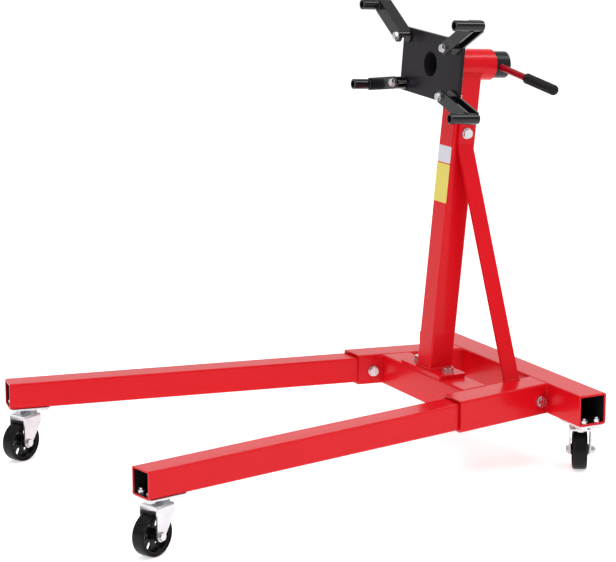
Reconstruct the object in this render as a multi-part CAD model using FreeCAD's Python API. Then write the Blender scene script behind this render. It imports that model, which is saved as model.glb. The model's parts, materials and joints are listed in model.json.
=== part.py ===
import FreeCAD, Part
import math
import os

# Engine stand: U-shaped base on four swivel casters, leaning mast with two flat-bar
# braces, and a rotating head plate with four adjustable engine arms.
# Millimetres, +Z up, floor at Z = 0. The legs and the engine side point to -Y.
# X = 0 is the middle plane; the origin is below the middle of the overall box.

# ---- driving dimensions: base ----
BASE_TUBE = 60.0            # side of the crossbar, member and sleeve tubes
BASE_WALL = 4.0
BASE_CORNER = (4.0, 1.5)    # outer and inner corner radius of the tubes
BASE_BOTTOM = 100.0         # underside of the base tubes above the floor
LEG_TUBE = 50.0
LEG_WALL = 3.0
LEG_CORNER = (3.5, 1.2)
LEG_REST = 0.2              # the leg rests this far above the sleeve's lower wall
SPLAY = 10.4                # degrees, each leg outwards from straight ahead
SLEEVE_GAP = 250.0          # between the sleeves where they meet the crossbar
SLEEVE_REACH = 215.0        # front of the sleeves ahead of the crossbar
CROSSBAR_LENGTH = 588.0
MEMBER_REAR = 108.5         # rear face of the front member ahead of the crossbar
LEG_REACH = 912.0           # front end of a leg, along its own axis
LEG_START = 9.0             # rear end of a leg, along its own axis
CLAMP_REAR = 22.0           # rear clamp bolt ahead of the crossbar
CLAMP_FRONT = 183.0         # front clamp bolt ahead of the crossbar
CLAMP_HEIGHT = 127.0
CLAMP_BOLT_LENGTH = 20.0
CROSSBAR_FRONT_Y = 424.0    # places the origin below the middle of the overall box

# ---- driving dimensions: mast, braces and labels ----
MAST_TUBE = 50.0
MAST_WALL = 3.0
MAST_CORNER = (3.5, 1.2)
MAST_LEAN = 5.8             # degrees, top leaning back
MAST_FOOT = 139.5           # mast axis ahead of the crossbar, at the base's top
PLATE_MIDDLE = 142.0        # middle of the foot plate ahead of the crossbar
PLATE_CORNER = 6.0
FOOT_PLATE = (152.0, 58.0, 8.0)
FOOT_BOLT_X = 53.0
BRACE_WIDTH = 32.0
BRACE_THICK = 6.0
BRACE_TAB = 44.0            # length of the flat tab against the mast
BRACE_CREASE = 443.0        # height of the crease above the base's top
BRACE_FOOT = (138.0, 50.0)  # sideways, and ahead of the crossbar
BRACE_BOLT_RISE = 21.0      # bolt above the crease, along the mast
TAB_CORNER = 9.0
LABEL_WIDTH = 46.0
LABEL_THICK = 0.5
UPPER_LABEL = (406.0, 438.0)    # bottom and top above the base's top
LOWER_LABEL = (330.0, 404.0)

# ---- driving dimensions: head ----
HEAD_RISE = 591.0           # head axis above the base's top, at the mast axis
HEAD_TILT = 3.5             # degrees, front end up
HEAD_ROLL = 2.3             # degrees, the plate's +X side down at rest
COLLAR_R = 29.6
COLLAR_REAR = -54.7         # along the head axis, forward of the mast axis
COLLAR_FRONT = 64.0
SPINDLE_R = 25.5
SPINDLE_BORE_R = 21.5
SPINDLE_REAR = -87.5
RUNNING = 0.08              # radial running clearance
PLATE_REAR = 68.0
PLATE = (214.5, 121.4, 8.0)
PLATE_DROP = 3.2            # middle of the plate and of its bolts below the head axis
PLATE_HOLE_R = 23.5
RIM_CHAMFER = 0.8           # on the outer rims of the plate, the tubes and the collar
ARM_HOLES = (86.4, 45.0)    # half spacings of the four arm bolts
ARM_LENGTH = 99.5           # bolt axis to tube axis
ARM_DEPTH = 26.0
ARM_WIDTH = 24.0
ARM_WALL = 4.0
ARM_GAP = 0.3               # arm clear of the plate and of its washer
TUBE_R = 10.0
TUBE_BORE_R = 6.5
TUBE_LENGTH = 60.0
# name: side in X, side in Z, angle of the arm in degrees, open side of its channel
ARMS = {
    "upper_left": (-1, 1, 151.0, 1),
    "upper_right": (1, 1, 31.7, -1),
    "lower_left": (-1, -1, 190.5, -1),
    "lower_right": (1, -1, -14.5, 1),
}
HANDLE_FORWARD = -67.3      # handle axis along the head axis
HANDLE_TILT = 4.7           # degrees, the grip end down, relative to the plate
ROD_R = 6.5
ROD_ENDS = (-48.0, 205.0)
GRIP_R = 10.0
GRIP_ENDS = (115.0, 214.0)
LOCK_FORWARD = -8.0
LOCK_BOSS_R = 11.0
LOCK_BOSS_OUT = 41.0
LOCK_TIP_GAP = 0.3          # screw tip clear of the spindle at rest
LOCK_KNOB = (8.0, 12.0)     # radius and length of the screw's collar
LOCK_KNOB_GAP = 8.0         # the collar stands off the boss
LOCK_BAR = (3.5, 44.0)      # radius and length of the screw's cross bar
HEAD_PLATE_CORNER = 5.0
ROD_HOLE_PLAY = 0.3         # handle rod in the spindle's cross holes
ROD_CHAMFER = 1.2
GRIP_NEAR_ROUND = 2.0
GRIP_FAR_ROUND = 7.0
BOLT_STICKS_OUT = 3.0       # bolt end beyond its nut

# ---- driving dimensions: casters ----
WHEEL_R = 38.0
TYRE_INNER_R = 32.5
TYRE_WIDTH = 27.0
HUB_WIDTH = 34.0
TRAIL = 22.5
FORK_INSIDE = 36.0
FORK_WALL = 3.0
CASTER_PLATE = (76.0, 54.0, 3.0)
CASTER_BOLTS = (29.0, 14.0)         # half spacings along and across
CASTER_BACK = 40.0                  # kingpin behind the leg's front end
REAR_KINGPIN = (257.0, 30.0)        # sideways, and behind the crossbar's front face
FRONT_SWIVEL = -65.5                # degrees, direction of the trail from +X
REAR_SWIVEL = 148.5
KINGPIN_R = 5.0
WINDOWS = 6                 # oval windows through a wheel's web
WINDOW = (18.8, 23.4, 4.6)  # inner and outer centre, half width
HUB_R = 10.5
BUSH_R = 6.0
BUSH_GAP = 0.1
WEB_THICK = 4.0
RIM = (3.0, 19.0)           # thickness and width
TYRE_ROUND = 3.0
TYRE_DISH = (31.0, 35.0, 5.0)   # hollow of a side: inner and outer radius, depth
CASTER_CORNER = 7.0
RACE = (15.5, 21.0, 9.0)    # pressed race under the plate: lower and upper radius, height
CROWN_DROP = 14.0           # crown of the fork below the top of the plate
FORK_BACK = -12.0
FORK_FRONT = 32.0
FORK_SIDE_DROP = 16.0       # rear edge of the cheeks below the crown
FORK_OUTER_BEND = 4.0
FORK_INNER_BEND = 1.0
CHEEK_R = 9.5
CHEEK_TANGENT = 25.0        # degrees, where the cheek's rear edge meets its round end
RIVET = (9.0, 3.0)          # radius and height of the kingpin's lower head
RIVET_GAP = 0.3
PIN_LENGTH = 20.3
BALL_RING = (16.0, 12.0, 1.4)
BALL_RING_GAP = 0.3

# ---- fasteners: shank radius, head across flats, head height, washer radius, nut height ----
M8 = {"r": 4.0, "af": 13.0, "head": 5.0, "washer": 8.0, "nut": 6.5}
M10 = {"r": 5.0, "af": 17.0, "head": 6.4, "washer": 10.5, "nut": 8.0}
M12 = {"r": 6.0, "af": 19.0, "head": 7.5, "washer": 12.0, "nut": 10.0}
WASHER = 2.0
HOLE_PLAY = 0.4

# ---- values worked out from the driving dimensions ----
BASE_TOP = BASE_BOTTOM + BASE_TUBE
LEG_BOTTOM = BASE_BOTTOM + BASE_WALL + LEG_REST
SLOPE = math.tan(math.radians(SPLAY))
SLEEVE_INNER_X = SLEEVE_GAP / 2
AXIS_X = SLEEVE_INNER_X + BASE_TUBE / 2 / math.cos(math.radians(SPLAY))
MEMBER_FRONT = MEMBER_REAR + BASE_TUBE
ZERO = FreeCAD.Vector(0, 0, 0)
X_AXIS = FreeCAD.Vector(1, 0, 0)
Y_AXIS = FreeCAD.Vector(0, 1, 0)
Z_AXIS = FreeCAD.Vector(0, 0, 1)

nodes = {}


# ---- general helpers ----
def vec(x, y, z):
    return FreeCAD.Vector(x, y, z)


def box(x0, x1, y0, y1, z0, z1):
    return Part.makeBox(x1 - x0, y1 - y0, z1 - z0, vec(x0, y0, z0))


def cylinder(radius, start, direction, length):
    return Part.makeCylinder(radius, length, start, direction)


def ring(outer, inner, start, direction, length):
    bore = cylinder(inner, start - direction, direction, length + 2)
    return cylinder(outer, start, direction, length).cut(bore)


def prism(points, z0, z1):
    corners = [vec(x, y, z0) for x, y in points]
    face = Part.Face(Part.makePolygon(corners + corners[:1]))
    return face.extrude(vec(0, 0, z1 - z0))


def hexagon(flats, start, direction, length):
    radius = flats / math.sqrt(3)
    corners = [vec(radius * math.cos(math.radians(60 * i)), radius * math.sin(math.radians(60 * i)), 0)
               for i in range(6)]
    body = Part.Face(Part.makePolygon(corners + corners[:1])).extrude(vec(0, 0, length))
    chamfer = Part.makeCone(radius + length * 0.5, radius * 0.9, length)
    body = body.common(chamfer)
    body.Placement = FreeCAD.Placement(start, FreeCAD.Rotation(Z_AXIS, direction))
    return body


def bolt(size, seat, direction, length):
    """Hex head on the seat, standing out along direction; the shank runs back from it."""
    head = hexagon(size["af"], seat, direction, size["head"])
    shank = cylinder(size["r"], seat - direction * length, direction, length)
    return head.fuse(shank).removeSplitter()


def washer(size, seat, direction):
    return ring(size["washer"], size["r"] + HOLE_PLAY / 2, seat, direction, WASHER)


def nut(size, seat, direction):
    body = hexagon(size["af"], seat, direction, size["nut"])
    return body.cut(cylinder(size["r"], seat - direction, direction, size["nut"] + 2))


def hole(size, start, direction, length):
    return cylinder(size["r"] + HOLE_PLAY / 2, start, direction, length)


def mirrored(shape):
    return shape.mirror(ZERO, X_AXIS)


def both_sides(shape):
    return [shape, mirrored(shape)]


def edges_along(shape, axis, above=-math.inf):
    """Straight edges of a shape along an axis, higher than a level."""
    found = []
    for edge in shape.Edges:
        if isinstance(edge.Curve, Part.Line) and edge.BoundBox.ZMin > above:
            if abs(edge.tangentAt(edge.FirstParameter).dot(axis)) > 0.9:
                found.append(edge)
    return found


def rim_edges(shape, low=-math.inf, high=math.inf):
    """Round edges of a shape whose centres lie between two stations along X."""
    return [edge for edge in shape.Edges
            if isinstance(edge.Curve, Part.Circle) and low < edge.Curve.Center.x < high]


def chamfered_tube(outer, inner, start, length):
    """Round tube along local Z with a small chamfer on its outer rims."""
    body = cylinder(outer, vec(0, 0, start), Z_AXIS, length)
    body = body.makeChamfer(RIM_CHAMFER, rim_edges(body))
    return body.cut(cylinder(inner, vec(0, 0, start - 1), Z_AXIS, length + 2))


def square_tube(outer, inner, corner, axis):
    """Tube left of an outer block by an inner one, with its long corners rounded."""
    outer_radius, inner_radius = corner
    outer = outer.makeFillet(outer_radius, edges_along(outer, axis))
    return outer.cut(inner.makeFillet(inner_radius, edges_along(inner, axis)))


def cut_all(shape, tools):
    for tool in tools:
        shape = shape.cut(tool)
    return shape


# ---- frames of the parts that lean, splay or tilt ----
def leg_placement():
    """Local -Y runs forward along the right leg's axis, from the crossbar's front face."""
    return FreeCAD.Placement(vec(AXIS_X, 0, 0), FreeCAD.Rotation(Z_AXIS, SPLAY))


def mast_placement():
    """Local Z runs up the mast from the base's top."""
    return FreeCAD.Placement(vec(0, -MAST_FOOT, BASE_TOP), FreeCAD.Rotation(X_AXIS, -MAST_LEAN))


def head_placement():
    """Local Z runs forward along the head axis, local Y is up the plate, local X is sideways."""
    centre = vec(0, -MAST_FOOT + HEAD_RISE * math.tan(math.radians(MAST_LEAN)), BASE_TOP + HEAD_RISE)
    upright = FreeCAD.Rotation(X_AXIS, 90 - HEAD_TILT)
    return FreeCAD.Placement(centre, upright * FreeCAD.Rotation(Z_AXIS, -HEAD_ROLL))


def arm_bolt_spot(side_x, side_z):
    """Place of an arm's bolt across the head axis."""
    return vec(side_x * ARM_HOLES[0], side_z * ARM_HOLES[1] - PLATE_DROP, 0)


def arm_placement(side_x, side_z, angle):
    """Local X runs along the arm, local Z forward from the plate's front face."""
    seat = arm_bolt_spot(side_x, side_z) + Z_AXIS * (PLATE_REAR + PLATE[2])
    return head_placement() * FreeCAD.Placement(seat, FreeCAD.Rotation(Z_AXIS, angle))


def caster_table():
    """Corner name: kingpin place, turn of the trail, turn of the plate, top of the plate."""
    front = leg_placement().multVec(vec(0, -(LEG_REACH - CASTER_BACK), 0))
    side, back = REAR_KINGPIN
    return {
        "front_right": (vec(front.x, front.y, 0), FRONT_SWIVEL, SPLAY + 90, LEG_BOTTOM),
        "front_left": (vec(-front.x, front.y, 0), FRONT_SWIVEL, -SPLAY + 90, LEG_BOTTOM),
        "rear_right": (vec(side, back, 0), REAR_SWIVEL, 0.0, BASE_BOTTOM),
        "rear_left": (vec(-side, back, 0), REAR_SWIVEL, 0.0, BASE_BOTTOM),
    }


def placed(shape, placement):
    result = shape.copy()
    result.Placement = placement * result.Placement
    return result


# ---- base ----
def splayed_block(offset_a, offset_b, front, rear, z0, z1):
    """Block between two lines parallel to the right leg; its ends are square to Y."""
    scale = 1 / math.cos(math.radians(SPLAY))
    xa = SLEEVE_INNER_X + offset_a * scale
    xb = SLEEVE_INNER_X + offset_b * scale
    points = [(xa + front * SLOPE, -front), (xb + front * SLOPE, -front),
              (xb + rear * SLOPE, -rear), (xa + rear * SLOPE, -rear)]
    return prism(points, z0, z1)


def clamp_seats():
    """Place and outward direction of the right sleeve's two clamp bolts."""
    turn = leg_placement().Rotation
    outward = turn.multVec(X_AXIS)
    rear = leg_placement().multVec(vec(BASE_TUBE / 2, -CLAMP_REAR, CLAMP_HEIGHT))
    front = leg_placement().multVec(vec(-BASE_TUBE / 2, -CLAMP_FRONT, CLAMP_HEIGHT))
    return [(rear, outward), (front, outward * -1)]


def clamp_holes():
    depth = BASE_TUBE / 2 - 2
    return [hole(M10, seat - out * depth, out, depth + 4) for seat, out in clamp_seats()]


def make_sleeves():
    outer = splayed_block(0, BASE_TUBE, SLEEVE_REACH, 0, BASE_BOTTOM, BASE_TOP)
    inner = splayed_block(BASE_WALL, BASE_TUBE - BASE_WALL, SLEEVE_REACH + 1, -1,
                          BASE_BOTTOM + BASE_WALL, BASE_TOP - BASE_WALL)
    axis = leg_placement().Rotation.multVec(Y_AXIS)
    sleeve = cut_all(square_tube(outer, inner, BASE_CORNER, axis), clamp_holes())
    nodes["right_sleeve"], nodes["left_sleeve"] = both_sides(sleeve)


def make_legs():
    half = LEG_TUBE / 2
    inside = half - LEG_WALL
    tube = box(-half, half, -LEG_REACH, -LEG_START, LEG_BOTTOM, LEG_BOTTOM + LEG_TUBE)
    bore = box(-inside, inside, -LEG_REACH - 1, -LEG_START + 1,
               LEG_BOTTOM + LEG_WALL, LEG_BOTTOM + LEG_TUBE - LEG_WALL)
    leg = placed(square_tube(tube, bore, LEG_CORNER, Y_AXIS), leg_placement())
    leg = cut_all(leg, clamp_holes() + caster_bolt_holes("front_right"))
    nodes["right_leg"], nodes["left_leg"] = both_sides(leg)


def make_crossbar():
    half = CROSSBAR_LENGTH / 2
    tube = box(-half, half, 0, BASE_TUBE, BASE_BOTTOM, BASE_TOP)
    bore = box(-half - 1, half + 1, BASE_WALL, BASE_TUBE - BASE_WALL,
               BASE_BOTTOM + BASE_WALL, BASE_TOP - BASE_WALL)
    drills = caster_bolt_holes("rear_right") + caster_bolt_holes("rear_left")
    nodes["rear_crossbar"] = cut_all(square_tube(tube, bore, BASE_CORNER, X_AXIS), drills)


def make_member():
    outer = []
    inner = []
    for y, wall in ((MEMBER_FRONT, -BASE_WALL), (MEMBER_REAR, BASE_WALL)):
        outer.append((SLEEVE_INNER_X + y * SLOPE, -y))
        inner.append((SLEEVE_INNER_X + (y + wall) * SLOPE, -(y + wall)))
    outer += [(-x, y) for x, y in reversed(outer)]
    inner += [(-x, y) for x, y in reversed(inner)]
    outside = prism(outer, BASE_BOTTOM, BASE_TOP)
    inside = prism(inner, BASE_BOTTOM + BASE_WALL, BASE_TOP - BASE_WALL)
    member = square_tube(outside, inside, BASE_CORNER, X_AXIS)
    drill = hole(M12, vec(FOOT_BOLT_X, -MAST_FOOT, BASE_TOP - 20), Z_AXIS, 40)
    nodes["front_crossmember"] = cut_all(member, both_sides(drill))


def make_clamps():
    bolts = []
    washers = []
    nuts = []
    for seat, out in clamp_seats():
        bolts += both_sides(bolt(M10, seat + out * WASHER, out, CLAMP_BOLT_LENGTH))
        washers += both_sides(washer(M10, seat, out))
        inside = seat - out * (BASE_TUBE / 2 - LEG_TUBE / 2 + LEG_WALL + M10["nut"])
        nuts += both_sides(nut(M10, inside, out))
    nodes["leg_clamp_bolts"] = Part.makeCompound(bolts)
    nodes["leg_clamp_washers"] = Part.makeCompound(washers)
    nodes["leg_clamp_nuts"] = Part.makeCompound(nuts)


# ---- mast and braces ----
def collar_cylinder(radius):
    body = cylinder(radius, vec(0, 0, COLLAR_REAR), Z_AXIS, COLLAR_FRONT - COLLAR_REAR)
    return placed(body, head_placement())


def brace_bolt_place():
    """Middle of the cross bolt through the mast and both brace tabs."""
    rise = BRACE_CREASE / math.cos(math.radians(MAST_LEAN)) + BRACE_BOLT_RISE
    return mast_placement().multVec(vec(0, 0, rise))


def make_mast():
    half = MAST_TUBE / 2
    inside = half - MAST_WALL
    length = HEAD_RISE / math.cos(math.radians(MAST_LEAN))
    tube = box(-half, half, -half, half, -MAST_TUBE, length)
    bore = box(-inside, inside, -inside, inside, -MAST_TUBE - 1, length + 1)
    mast = placed(square_tube(tube, bore, MAST_CORNER, Z_AXIS), mast_placement())
    floor = BASE_TOP + FOOT_PLATE[2]
    below = box(-MAST_TUBE, MAST_TUBE, -MAST_FOOT - 2 * MAST_TUBE, -MAST_FOOT + 2 * MAST_TUBE, 0, floor)
    mast = mast.cut(below)
    mast = mast.cut(collar_cylinder(COLLAR_R))
    centre = brace_bolt_place()
    mast = mast.cut(hole(M10, centre - X_AXIS * 60, X_AXIS, 120))
    nodes["mast_tube"] = mast


def make_foot():
    length, width, thick = FOOT_PLATE
    front = -PLATE_MIDDLE - width / 2
    plate = box(-length / 2, length / 2, front, front + width, BASE_TOP, BASE_TOP + thick)
    plate = plate.makeFillet(PLATE_CORNER, edges_along(plate, Z_AXIS))
    bolts = []
    washers = []
    nuts = []
    for side in (-1, 1):
        spot = vec(side * FOOT_BOLT_X, -MAST_FOOT, BASE_TOP + thick)
        plate = plate.cut(hole(M12, spot - Z_AXIS * 20, Z_AXIS, 40))
        washers.append(washer(M12, spot, Z_AXIS))
        below = thick + BASE_WALL + M12["nut"]
        bolts.append(bolt(M12, spot + Z_AXIS * WASHER, Z_AXIS, WASHER + below + BOLT_STICKS_OUT))
        nuts.append(nut(M12, spot - Z_AXIS * below, Z_AXIS))
    nodes["mast_base_plate"] = plate
    nodes["mast_base_bolts"] = Part.makeCompound(bolts)
    nodes["mast_base_washers"] = Part.makeCompound(washers)
    nodes["mast_base_nuts"] = Part.makeCompound(nuts)


def make_braces():
    """Flat bar: a tab against the mast's side, a crease, then straight down to the sleeve's inner edge."""
    half = MAST_TUBE / 2
    slant = BRACE_CREASE / math.cos(math.radians(MAST_LEAN))
    wide = BRACE_WIDTH / 2
    tab = box(half, half + BRACE_THICK, -wide, wide, slant, slant + BRACE_TAB)
    tab = placed(tab.makeFillet(TAB_CORNER, edges_along(tab, X_AXIS, slant + 1)), mast_placement())
    crease = mast_placement().multVec(vec(half + BRACE_THICK / 2, 0, slant))
    foot = vec(BRACE_FOOT[0], -BRACE_FOOT[1], BASE_TOP)
    run = foot - crease
    along = run * (1 / run.Length)
    across = Y_AXIS - along * Y_AXIS.dot(along)
    across = across * (1 / across.Length)
    outward = along.cross(across) * -1
    turn = FreeCAD.Rotation(outward, across, along, "ZYX")
    bar = box(-BRACE_THICK / 2, BRACE_THICK / 2, -wide, wide, 0, run.Length + BASE_TUBE / 2)
    bar = placed(bar, FreeCAD.Placement(crease, turn))
    bar = bar.cut(box(0, CROSSBAR_LENGTH, -SLEEVE_REACH, SLEEVE_REACH, 0, BASE_TOP))
    bend = cylinder(BRACE_THICK / 2, crease - across * wide, across, BRACE_WIDTH)
    brace = tab.fuse([bar, bend]).removeSplitter()
    brace = brace.cut(hole(M10, brace_bolt_place(), X_AXIS, 60))
    nodes["right_brace"], nodes["left_brace"] = both_sides(brace)
    seat = brace_bolt_place() + X_AXIS * (half + BRACE_THICK)
    length = 2 * (half + BRACE_THICK + WASHER) + M10["nut"] + BOLT_STICKS_OUT
    nodes["brace_bolt"] = bolt(M10, seat + X_AXIS * WASHER, X_AXIS, length)
    nodes["brace_washers"] = Part.makeCompound(both_sides(washer(M10, seat, X_AXIS)))
    nodes["brace_nut"] = mirrored(nut(M10, seat + X_AXIS * WASHER, X_AXIS))


def make_labels():
    front = -MAST_TUBE / 2
    for name, (low, high) in (("upper_label", UPPER_LABEL), ("lower_label", LOWER_LABEL)):
        panel = box(-LABEL_WIDTH / 2, LABEL_WIDTH / 2, front - LABEL_THICK, front, low, high)
        nodes[name] = placed(panel, mast_placement())


# ---- head ----
def lock_place():
    """Start of the lock screw's axis on the head axis, and its outward direction."""
    frame = FreeCAD.Placement(head_placement().Base, FreeCAD.Rotation(X_AXIS, 90 - HEAD_TILT))
    return frame.multVec(vec(0, 0, LOCK_FORWARD)), X_AXIS * -1


def make_collar():
    collar = chamfered_tube(COLLAR_R, SPINDLE_R + RUNNING, COLLAR_REAR, COLLAR_FRONT - COLLAR_REAR)
    collar = placed(collar, head_placement())
    start, out = lock_place()
    collar = collar.cut(cylinder(M10["r"] + RUNNING, start, out, LOCK_BOSS_OUT))
    nodes["head_collar"] = collar
    boss = ring(LOCK_BOSS_R, M10["r"] + RUNNING, start, out, LOCK_BOSS_OUT)
    nodes["lock_boss"] = boss.cut(collar_cylinder(COLLAR_R))


def make_lock_screw():
    start, out = lock_place()
    tip = SPINDLE_R + LOCK_TIP_GAP
    knob_start = LOCK_BOSS_OUT + LOCK_KNOB_GAP
    knob_r, knob_length = LOCK_KNOB
    bar_r, bar_length = LOCK_BAR
    screw = cylinder(M10["r"], start + out * tip, out, knob_start - tip + 1)
    knob = cylinder(knob_r, start + out * knob_start, out, knob_length)
    middle = start + out * (knob_start + knob_length / 2)
    bar = cylinder(bar_r, middle - Z_AXIS * (bar_length / 2), Z_AXIS, bar_length)
    nodes["lock_screw"] = screw.fuse([knob, bar]).removeSplitter()


def make_spindle():
    length = PLATE_REAR - SPINDLE_REAR
    tube = chamfered_tube(SPINDLE_R, SPINDLE_BORE_R, SPINDLE_REAR, length)
    drill = cylinder(ROD_R + ROD_HOLE_PLAY, vec(-2 * SPINDLE_R, 0, 0), X_AXIS, 4 * SPINDLE_R)
    nodes["spindle_tube"] = placed(tube, head_placement()).cut(placed(drill, handle_placement()))


def make_plate():
    width, height, thick = PLATE
    top = height / 2 - PLATE_DROP
    plate = box(-width / 2, width / 2, top - height, top, PLATE_REAR, PLATE_REAR + thick)
    plate = plate.makeFillet(HEAD_PLATE_CORNER, edges_along(plate, Z_AXIS))
    outline = [edge for edge in plate.Edges if edge.BoundBox.ZLength < 0.01]
    plate = plate.makeChamfer(RIM_CHAMFER, outline)
    plate = plate.cut(cylinder(PLATE_HOLE_R, vec(0, 0, PLATE_REAR - 1), Z_AXIS, thick + 2))
    bolts = []
    washers = []
    nuts = []
    front = PLATE_REAR + thick + ARM_DEPTH + 2 * ARM_GAP
    nut_seat = PLATE_REAR - WASHER - M8["nut"]
    length = front + WASHER - nut_seat + BOLT_STICKS_OUT
    for side_x, side_z, _, _ in ARMS.values():
        spot = arm_bolt_spot(side_x, side_z)
        plate = plate.cut(hole(M8, spot + Z_AXIS * (PLATE_REAR - 1), Z_AXIS, thick + 2))
        bolts.append(bolt(M8, spot + Z_AXIS * (front + WASHER), Z_AXIS, length))
        washers.append(washer(M8, spot + Z_AXIS * front, Z_AXIS))
        washers.append(washer(M8, spot + Z_AXIS * (PLATE_REAR - WASHER), Z_AXIS))
        nuts.append(nut(M8, spot + Z_AXIS * nut_seat, Z_AXIS))
    nodes["head_plate"] = placed(plate, head_placement())
    nodes["arm_bolts"] = placed(Part.makeCompound(bolts), head_placement())
    nodes["arm_washers"] = placed(Part.makeCompound(washers), head_placement())
    nodes["arm_nuts"] = placed(Part.makeCompound(nuts), head_placement())


def arm_channel(open_side):
    """U-channel lying on the plate: two flanges square to the bolt and one web; round foot end."""
    half = ARM_WIDTH / 2
    body = box(0, ARM_LENGTH, -half, half, ARM_GAP, ARM_GAP + ARM_DEPTH)
    body = body.fuse(cylinder(half, vec(0, 0, ARM_GAP), Z_AXIS, ARM_DEPTH)).removeSplitter()
    low = -half + ARM_WALL if open_side > 0 else -half - 1
    high = half + 1 if open_side > 0 else half - ARM_WALL
    floor = ARM_GAP + ARM_WALL
    inside = box(-half - 1, ARM_LENGTH + 1, low, high, floor, ARM_GAP + ARM_DEPTH - ARM_WALL)
    body = body.cut(inside)
    body = body.cut(cylinder(TUBE_R, vec(ARM_LENGTH, 0, -1), Z_AXIS, ARM_DEPTH + 3))
    return body.cut(cylinder(M8["r"] + HOLE_PLAY, vec(0, 0, -1), Z_AXIS, ARM_DEPTH + 3))


def make_arms():
    for name, (side_x, side_z, angle, open_side) in ARMS.items():
        place = arm_placement(side_x, side_z, angle)
        nodes["arm_channel_" + name] = placed(arm_channel(open_side), place)
        tube = chamfered_tube(TUBE_R, TUBE_BORE_R, ARM_GAP, TUBE_LENGTH)
        tube.translate(X_AXIS * ARM_LENGTH)
        nodes["arm_tube_" + name] = placed(tube, place)


def handle_placement():
    """Local X runs along the handle towards its grip, through the spindle's axis."""
    spot = FreeCAD.Placement(vec(0, 0, HANDLE_FORWARD), FreeCAD.Rotation(Z_AXIS, -HANDLE_TILT))
    return head_placement() * spot


def make_handle():
    rod = cylinder(ROD_R, vec(ROD_ENDS[0], 0, 0), X_AXIS, ROD_ENDS[1] - ROD_ENDS[0])
    rod = rod.makeChamfer(ROD_CHAMFER, rim_edges(rod))
    near, far = GRIP_ENDS
    grip = cylinder(GRIP_R, vec(near, 0, 0), X_AXIS, far - near)
    grip = grip.makeFillet(GRIP_NEAR_ROUND, rim_edges(grip, high=near + 1))
    grip = grip.makeFillet(GRIP_FAR_ROUND, rim_edges(grip, low=far - 1))
    grip = grip.cut(cylinder(ROD_R, vec(near - 1, 0, 0), X_AXIS, ROD_ENDS[1] - near + 1))
    nodes["handle_rod"] = placed(rod, handle_placement())
    nodes["handle_grip"] = placed(grip, handle_placement())


# ---- casters ----
def caster_bolt_spots(corner):
    place, _, plate_turn, _ = caster_table()[corner]
    frame = FreeCAD.Placement(place, FreeCAD.Rotation(Z_AXIS, plate_turn))
    along, across = CASTER_BOLTS
    return [frame.multVec(vec(i * along, j * across, 0)) for i in (-1, 1) for j in (-1, 1)]


def caster_bolt_holes(corner):
    start = Z_AXIS * (BASE_BOTTOM - 20)
    return [hole(M8, spot + start, Z_AXIS, 40) for spot in caster_bolt_spots(corner)]


def caster_plate(top):
    """Mounting plate with the upper ball race pressed down around its middle."""
    length, width, thick = CASTER_PLATE
    plate = box(-length / 2, length / 2, -width / 2, width / 2, top - thick, top)
    plate = plate.makeFillet(CASTER_CORNER, edges_along(plate, Z_AXIS))
    low_r, high_r, drop = RACE
    plate = plate.fuse(Part.makeCone(low_r, high_r, drop, vec(0, 0, top - thick - drop)))
    drills = [hole(M8, vec(i * CASTER_BOLTS[0], j * CASTER_BOLTS[1], top - 10), Z_AXIS, 20)
              for i in (-1, 1) for j in (-1, 1)]
    drills.append(cylinder(KINGPIN_R, vec(0, 0, top - 20), Z_AXIS, 40))
    return cut_all(plate.removeSplitter(), drills)


def fork_section(crown):
    """U-section of the pressed fork, with rounded bends, running along the trail."""
    inside = FORK_INSIDE / 2
    outside = inside + FORK_WALL
    ceiling = crown - FORK_WALL
    outer = box(FORK_BACK, FORK_FRONT, -outside, outside, 0, crown)
    inner = box(FORK_BACK - 1, FORK_FRONT + 1, -inside, inside, -1, ceiling)
    outer = outer.makeFillet(FORK_OUTER_BEND, edges_along(outer, X_AXIS, crown - 1))
    inner = inner.makeFillet(FORK_INNER_BEND, edges_along(inner, X_AXIS, ceiling - 1))
    return outer.cut(inner)


def cheek_outline(crown):
    """Outline of the fork seen from its side: tall at the crown, round at the axle."""
    width = CASTER_PLATE[0]
    angle = math.radians(CHEEK_TANGENT)
    touch = (TRAIL - math.cos(angle) * CHEEK_R, WHEEL_R - math.sin(angle) * CHEEK_R)
    points = [(FORK_BACK, crown + 1), (FORK_BACK, crown - FORK_SIDE_DROP), touch, (TRAIL, WHEEL_R),
              (TRAIL + CHEEK_R, WHEEL_R), (TRAIL + CHEEK_R, crown + 1)]
    corners = [vec(x, -width / 2, z) for x, z in points]
    face = Part.Face(Part.makePolygon(corners + corners[:1]))
    end = cylinder(CHEEK_R, vec(TRAIL, -width / 2, WHEEL_R), Y_AXIS, width)
    return face.extrude(Y_AXIS * width).fuse(end)


def caster_fork(top):
    """Pressed fork: a U-section cut to the outline of its cheeks. Local +X is the trail."""
    crown = top - CROWN_DROP
    fork = fork_section(crown).common(cheek_outline(crown)).removeSplitter()
    fork = fork.cut(cylinder(KINGPIN_R + RUNNING, vec(0, 0, crown - 20), Z_AXIS, 40))
    return fork.cut(hole(M8, vec(TRAIL, -2 * FORK_INSIDE, WHEEL_R), Y_AXIS, 4 * FORK_INSIDE))


def caster_axle():
    outside = FORK_INSIDE / 2 + FORK_WALL
    centre = vec(TRAIL, 0, WHEEL_R)
    length = 2 * outside + M8["nut"] + BOLT_STICKS_OUT
    pin = bolt(M8, centre + Y_AXIS * outside, Y_AXIS, length)
    lock = nut(M8, centre - Y_AXIS * (outside + M8["nut"]), Y_AXIS)
    half = FORK_INSIDE / 2 - BUSH_GAP
    bush = ring(BUSH_R, M8["r"], centre - Y_AXIS * half, Y_AXIS, 2 * half)
    return Part.makeCompound([pin, lock, bush])


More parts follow.
